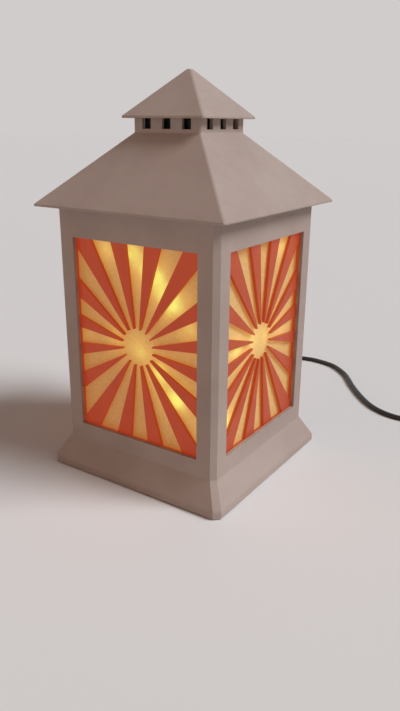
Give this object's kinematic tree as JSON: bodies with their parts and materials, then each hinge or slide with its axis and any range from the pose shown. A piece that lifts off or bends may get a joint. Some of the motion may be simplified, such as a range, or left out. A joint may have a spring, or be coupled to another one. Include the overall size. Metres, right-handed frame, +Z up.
{
  "type": "led table lantern",
  "caption": "Square table lantern with sunburst windows over lit diffusers, a lift-off hipped roof with a vented neck and cap, and a thin power cable with an inline switch.",
  "frame": {"origin": "middle of the square base, on the surface that the feet stand on", "axes": "+Z up, front window towards -Y, cable leaves at the back towards +Y"},
  "size_m": [0.2675, 0.2782, 0.24],
  "materials": {
    "housing": "matte, warm taupe",
    "sunburst_red": "satin, translucent red-orange",
    "diffuser": "translucent warm white, lit from behind",
    "core_white": "white, moulded",
    "strip_white": "white solder mask",
    "cable_black": "smooth black sheath",
    "tie_black": "hook and loop band",
    "wire_red": "red insulation",
    "switch_black": "fine texture",
    "rubber": "soft pad",
    "steel": "plated",
    "brass": "stamped"
  },
  "bodies": {
    "lantern": {"body_shell": "housing", "base_plate": "housing", "led_core": "core_white", "led_strip": "strip_white", "wire_red": "wire_red", "wire_black": "cable_black", "inner_cable": "cable_black", "cable_clamp": "core_white", "strain_relief": "cable_black", "cord_lead": "cable_black", "cord_coil": "cable_black", "cord_tie": "tie_black", "cord_tail": "cable_black", "cord_link": "cable_black", "switch_lower_shell": "switch_black", "switch_upper_shell": "switch_black", "switch_contact_in": "brass", "switch_contact_out": "brass", "plug_body": "switch_black", "plug_shell": "steel", "plug_tongue": "core_white", "clamp_screw_left": "steel", "clamp_screw_right": "steel", "switch_screw_in": "steel", "switch_screw_out": "steel", "sunburst_panel_front": "sunburst_red", "diffuser_front": "diffuser", "sunburst_panel_right": "sunburst_red", "diffuser_right": "diffuser", "sunburst_panel_back": "sunburst_red", "diffuser_back": "diffuser", "sunburst_panel_left": "sunburst_red", "diffuser_left": "diffuser", "base_screw_front_left": "steel", "foot_front_left": "rubber", "base_screw_front_right": "steel", "foot_front_right": "rubber", "base_screw_back_right": "steel", "foot_back_right": "rubber", "base_screw_back_left": "steel", "foot_back_left": "rubber"},
    "roof": {"roof_shell": "housing", "vent_neck": "housing", "roof_cap": "housing", "vent_baffle": "switch_black"},
    "rocker": {"switch_rocker": "switch_black"}
  },
  "joints": [
    {"name": "roof_lift", "type": "slide", "parent": "lantern", "child": "roof", "axis": [0, 0, 1], "range_m": [0, 0.06]},
    {"name": "rocker_turn", "type": "hinge", "parent": "lantern", "child": "rocker", "pos_m": [0.195, 0.052, 0.0082], "axis": [1, 0, 0], "range_deg": [-14, 0]}
  ]
}
